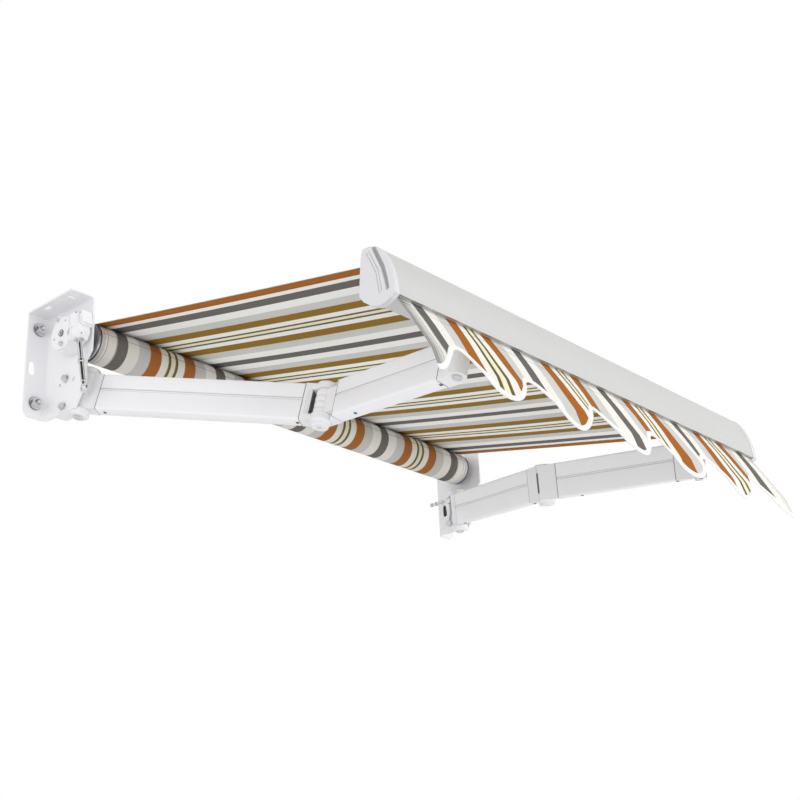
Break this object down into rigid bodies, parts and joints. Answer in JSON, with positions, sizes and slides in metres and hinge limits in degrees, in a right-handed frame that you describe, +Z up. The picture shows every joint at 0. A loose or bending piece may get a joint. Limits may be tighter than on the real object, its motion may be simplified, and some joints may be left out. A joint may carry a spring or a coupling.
{
  "type": "retractable awning",
  "caption": "Wall-mounted folding-arm awning with crank-driven fabric roller, striped canopy, front bar and scalloped valance, shown extended.",
  "frame": {"origin": "on the wall plane, midway between the two wall brackets and at half the height between their edges", "axes": "+X to the right as seen from in front, +Y into the wall, +Z up"},
  "size_m": [1.269, 0.9595, 0.4123],
  "materials": {
    "coated_plate": "white powder coat, satin",
    "cast_coat": "white powder-coated casting, satin",
    "arm_coat": "white powder-coated extrusion, satin",
    "bar_coat": "white powder-coated extrusion, satin",
    "zinc_steel": "bright zinc plate",
    "chrome_steel": "polished",
    "cap_plastic": "white moulded plastic",
    "striped_cloth": "woven stripes of cream, greys, orange, olive and pale yellow",
    "binding_tape": "white woven binding",
    "gear_bronze": "machined"
  },
  "bodies": {
    "root": {"canopy": "striped_cloth", "gearbox_cover": "cast_coat", "gearbox_housing": "cast_coat", "gearbox_lower_bolt": "zinc_steel", "gearbox_upper_bolt": "zinc_steel", "left_lower_anchor_nut": "zinc_steel", "left_lower_anchor_stud": "zinc_steel", "left_lower_plate_bolt": "zinc_steel", "left_pitch_screw": "zinc_steel", "left_roller_bearing": "zinc_steel", "left_shoulder_casting": "cast_coat", "left_shoulder_pin": "zinc_steel", "left_upper_anchor_nut": "zinc_steel", "left_upper_anchor_stud": "zinc_steel", "left_upper_plate_bolt": "zinc_steel", "left_wall_bracket": "coated_plate", "right_lower_anchor_nut": "zinc_steel", "right_lower_anchor_stud": "zinc_steel", "right_lower_plate_bolt": "zinc_steel", "right_pitch_screw": "zinc_steel", "right_roller_bearing": "zinc_steel", "right_shoulder_casting": "cast_coat", "right_shoulder_pin": "zinc_steel", "right_upper_anchor_nut": "zinc_steel", "right_upper_anchor_stud": "zinc_steel", "right_upper_plate_bolt": "zinc_steel", "right_wall_bracket": "coated_plate"},
    "roller": {"roller_tube": "zinc_steel", "fabric_roll": "striped_cloth", "left_roller_plug": "cap_plastic", "right_roller_plug": "cap_plastic", "worm_wheel": "gear_bronze", "drive_shaft": "zinc_steel"},
    "crank": {"worm_shaft": "zinc_steel", "crank_rod": "chrome_steel", "crank_eye": "chrome_steel"},
    "left_upper_arm": {"left_upper_arm_profile": "arm_coat", "left_arm_root": "cast_coat", "left_elbow_fork": "cast_coat", "left_elbow_pin": "zinc_steel"},
    "left_forearm": {"left_forearm_profile": "arm_coat", "left_elbow_drum": "cast_coat", "left_wrist_eye": "cast_coat"},
    "right_upper_arm": {"right_upper_arm_profile": "arm_coat", "right_arm_root": "cast_coat", "right_elbow_fork": "cast_coat", "right_elbow_pin": "zinc_steel"},
    "right_forearm": {"right_forearm_profile": "arm_coat", "right_elbow_drum": "cast_coat", "right_wrist_eye": "cast_coat", "right_wrist_pin": "zinc_steel"},
    "front_bar": {"front_bar": "bar_coat", "left_end_cap": "cap_plastic", "right_end_cap": "cap_plastic", "left_wrist_bracket": "cast_coat", "left_wrist_pin": "zinc_steel", "right_wrist_bracket": "cast_coat", "valance": "striped_cloth", "valance_binding": "binding_tape"}
  },
  "joints": [
    {"name": "left_shoulder", "type": "hinge", "parent": "root", "child": "left_upper_arm", "pos_m": [-0.555, -0.0889, -0.0665], "axis": [0.1913, -0.1123, 0.9751], "range_deg": [0, 64.32], "deforming": ["canopy"]},
    {"name": "left_elbow", "type": "hinge", "parent": "left_upper_arm", "child": "left_forearm", "pos_m": [-0.33359, -0.51116, -0.15858], "axis": [0.1913, -0.1123, 0.9751], "range_deg": [-115.7, 0]},
    {"name": "left_wrist", "type": "hinge", "parent": "left_forearm", "child": "front_bar", "pos_m": [-0.36886, -0.85981, -0.19181], "axis": [0.1913, -0.1123, 0.9751], "range_deg": [0, 51.4]},
    {"name": "right_shoulder", "type": "hinge", "parent": "root", "child": "right_upper_arm", "pos_m": [0.555, -0.0889, -0.0665], "axis": [-0.1913, -0.1123, 0.9751], "range_deg": [-64.4, 0]},
    {"name": "right_elbow", "type": "hinge", "parent": "right_upper_arm", "child": "right_forearm", "pos_m": [0.33359, -0.51116, -0.15858], "axis": [-0.1913, -0.1123, 0.9751], "range_deg": [0, 115.7]},
    {"name": "roller_spin", "type": "hinge", "parent": "root", "child": "roller", "pos_m": [0, -0.09215, 0.03753], "axis": [1, 0, 0], "range_deg": [-890.2, 0]},
    {"name": "crank_spin", "type": "hinge", "parent": "root", "child": "crank", "pos_m": [-0.606, -0.12717, 0.04495], "axis": [0, 0.2071, 0.9783], "range_deg": [0, 10678.3]}
  ],
  "couplings": [
    {"joint": "left_elbow", "follows": "left_shoulder", "ratio": -1.7972},
    {"joint": "left_wrist", "follows": "left_shoulder", "ratio": 0.7972},
    {"joint": "right_shoulder", "follows": "left_shoulder", "ratio": -1},
    {"joint": "right_elbow", "follows": "left_shoulder", "ratio": 1.7972},
    {"joint": "roller_spin", "follows": "left_shoulder", "ratio": -13.809},
    {"joint": "crank_spin", "follows": "left_shoulder", "ratio": 165.71}
  ]
}
